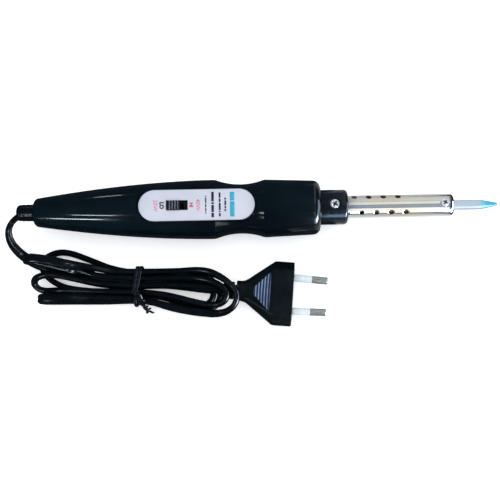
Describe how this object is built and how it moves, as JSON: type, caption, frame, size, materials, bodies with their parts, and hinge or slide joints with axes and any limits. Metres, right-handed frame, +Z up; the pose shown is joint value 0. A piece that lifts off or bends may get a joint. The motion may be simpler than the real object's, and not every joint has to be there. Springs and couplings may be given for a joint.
{
  "type": "soldering iron",
  "caption": "Soldering iron with a tapered, waisted handle, a LO/HI slide switch in a label, a perforated barrel, a pull-out tip held by a set screw, and a tied flat lead with a flat plug.",
  "frame": {"origin": "on the surface the iron rests on, under the middle of its length and width, the lead and plug left out", "axes": "+X from the cord end to the tip, +Z up out of the label, +Y away from the tied lead"},
  "size_m": [0.273, 0.0805, 0.0322],
  "materials": {
    "handle_plastic": "gloss moulded",
    "collar_plastic": "gloss moulded",
    "black_plastic": "satin moulded",
    "label_film": "printed satin film",
    "barrel_chrome": "polished",
    "screw_steel": "zinc plated",
    "contact_brass": "plain",
    "mica": "layered, satin",
    "heater_wire": "oxidised",
    "white_ceramic": "unglazed",
    "glass_sleeving": "braided",
    "brown_insulation": "satin",
    "blue_insulation": "satin",
    "tip_plating": "plated shank, blue coated cone",
    "cord_pvc": "satin",
    "plug_plastic": "satin moulded",
    "pin_nickel": "nickel plated",
    "sleeve_plastic": "satin"
  },
  "bodies": {
    "iron": {"upper_shell": "handle_plastic", "lower_shell": "handle_plastic", "shell_screws": "screw_steel", "label_plate": "label_film", "switch_body": "black_plastic", "switch_terminals": "contact_brass", "power_diode": "black_plastic", "nose_collar": "collar_plastic", "collar_screws": "screw_steel", "barrel": "barrel_chrome", "tip_socket": "contact_brass", "mica_sleeve": "mica", "heater_coil": "heater_wire", "mica_wrap": "mica", "ceramic_spacer": "white_ceramic", "heater_leads": "heater_wire", "lead_sleeves": "glass_sleeving", "wire_joints": "screw_steel", "live_wires": "brown_insulation", "neutral_wire": "blue_insulation", "cord_clamp": "black_plastic", "cord_clamp_screws": "screw_steel", "cord_gland": "cord_pvc", "cord_inner_sheath": "cord_pvc", "cord_lead": "cord_pvc", "cord_hank": "cord_pvc", "twist_tie": "cord_pvc", "plug_body": "plug_plastic", "plug_strain_relief": "plug_plastic", "plug_pins": "pin_nickel", "pin_sleeves": "sleeve_plastic"},
    "switch_slider": {"switch_slider": "black_plastic", "switch_contact": "contact_brass"},
    "tip": {"soldering_tip": "tip_plating"},
    "tip_screw": {"tip_screw": "screw_steel"}
  },
  "joints": [
    {"name": "switch_slide", "type": "slide", "parent": "iron", "child": "switch_slider", "axis": [1, 0, 0], "range_m": [0, 0.004]},
    {"name": "tip_pull", "type": "slide", "parent": "iron", "child": "tip", "axis": [1, 0, 0], "range_m": [0, 0.045]},
    {"name": "tip_screw_turn", "type": "hinge", "parent": "iron", "child": "tip_screw", "pos_m": [0.102, 0, 0.0226], "axis": [0, 0, 1], "range_deg": [0, 720]}
  ]
}
